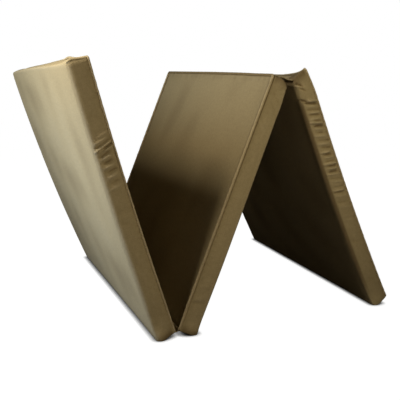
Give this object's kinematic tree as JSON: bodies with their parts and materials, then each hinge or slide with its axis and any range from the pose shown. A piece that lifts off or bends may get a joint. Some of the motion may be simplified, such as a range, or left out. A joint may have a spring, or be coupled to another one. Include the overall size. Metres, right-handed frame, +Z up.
{
  "type": "folding mattress",
  "caption": "Folding foam mattress: slab panels in zipped cloth covers, joined by cloth hinges on alternate sides so that it folds in a Z.",
  "frame": {"origin": "on the floor, under the middle of the box that the standing mattress fills", "axes": "+X from the head panel to the foot panel, Y along the folds with the zips in the +Y sides, +Z up"},
  "size_m": [0.8486, 0.7693, 0.6294],
  "materials": {
    "cover_cloth": "matte",
    "edging_cloth": "matte",
    "core_foam": "matte",
    "zip_nylon": "matte",
    "zip_metal": "satin"
  },
  "bodies": {
    "middle_panel": {"middle_foam_core": "core_foam", "middle_base_cover": "cover_cloth", "middle_top_cover": "cover_cloth", "middle_piping": "edging_cloth", "middle_zip_tape_top": "zip_nylon", "middle_zip_tape_base": "zip_nylon", "middle_zip_top_stop": "zip_metal", "middle_zip_bottom_stop": "zip_metal", "lower_hinge_strip": "edging_cloth", "upper_hinge_strip": "edging_cloth"},
    "head_panel": {"head_foam_core": "core_foam", "head_base_cover": "cover_cloth", "head_top_cover": "cover_cloth", "head_piping": "edging_cloth", "head_zip_tape_top": "zip_nylon", "head_zip_tape_base": "zip_nylon", "head_zip_top_stop": "zip_metal", "head_zip_bottom_stop": "zip_metal"},
    "foot_panel": {"foot_foam_core": "core_foam", "foot_base_cover": "cover_cloth", "foot_top_cover": "cover_cloth", "foot_piping": "edging_cloth", "foot_zip_tape_top": "zip_nylon", "foot_zip_tape_base": "zip_nylon", "foot_zip_top_stop": "zip_metal", "foot_zip_bottom_stop": "zip_metal"},
    "head_slider": {"head_zip_slider": "zip_metal"},
    "head_pull": {"head_zip_pull": "zip_metal"},
    "middle_slider": {"middle_zip_slider": "zip_metal"},
    "middle_pull": {"middle_zip_pull": "zip_metal"},
    "foot_slider": {"foot_zip_slider": "zip_metal"},
    "foot_pull": {"foot_zip_pull": "zip_metal"}
  },
  "joints": [
    {"name": "lower_fold", "type": "hinge", "parent": "middle_panel", "child": "head_panel", "pos_m": [-0.18016, -0.0027, 0.00999], "axis": [0, -1, 0], "range_deg": [-37.7, 140.3], "deforming": ["lower_hinge_strip"]},
    {"name": "upper_fold", "type": "hinge", "parent": "middle_panel", "child": "foot_panel", "pos_m": [0.10809, -0.0027, 0.58764], "axis": [0, -1, 0], "range_deg": [-44.43, 133.57], "deforming": ["upper_hinge_strip"]},
    {"name": "head_zip_slide", "type": "slide", "parent": "head_panel", "child": "head_slider", "axis": [0.3057, 0, -0.9521], "range_m": [0, 0.5558]},
    {"name": "head_pull_hinge", "type": "hinge", "parent": "head_slider", "child": "head_pull", "pos_m": [-0.3897, 0.38255, 0.5776], "axis": [0.9521, 0, 0.3057], "range_deg": [0, 150]},
    {"name": "middle_zip_slide", "type": "slide", "parent": "middle_panel", "child": "middle_slider", "axis": [-0.373, 0, -0.9278], "range_m": [0, 0.5428]},
    {"name": "middle_pull_hinge", "type": "hinge", "parent": "middle_slider", "child": "middle_pull", "pos_m": [0.0658, 0.38255, 0.55215], "axis": [0.9278, 0, -0.373], "range_deg": [0, 150]},
    {"name": "foot_zip_slide", "type": "slide", "parent": "foot_panel", "child": "foot_slider", "axis": [0.4151, 0, -0.9098], "range_m": [0, 0.5558]},
    {"name": "foot_pull_hinge", "type": "hinge", "parent": "foot_slider", "child": "foot_pull", "pos_m": [0.15196, 0.38255, 0.55413], "axis": [0.9098, 0, 0.4151], "range_deg": [0, 150]}
  ]
}
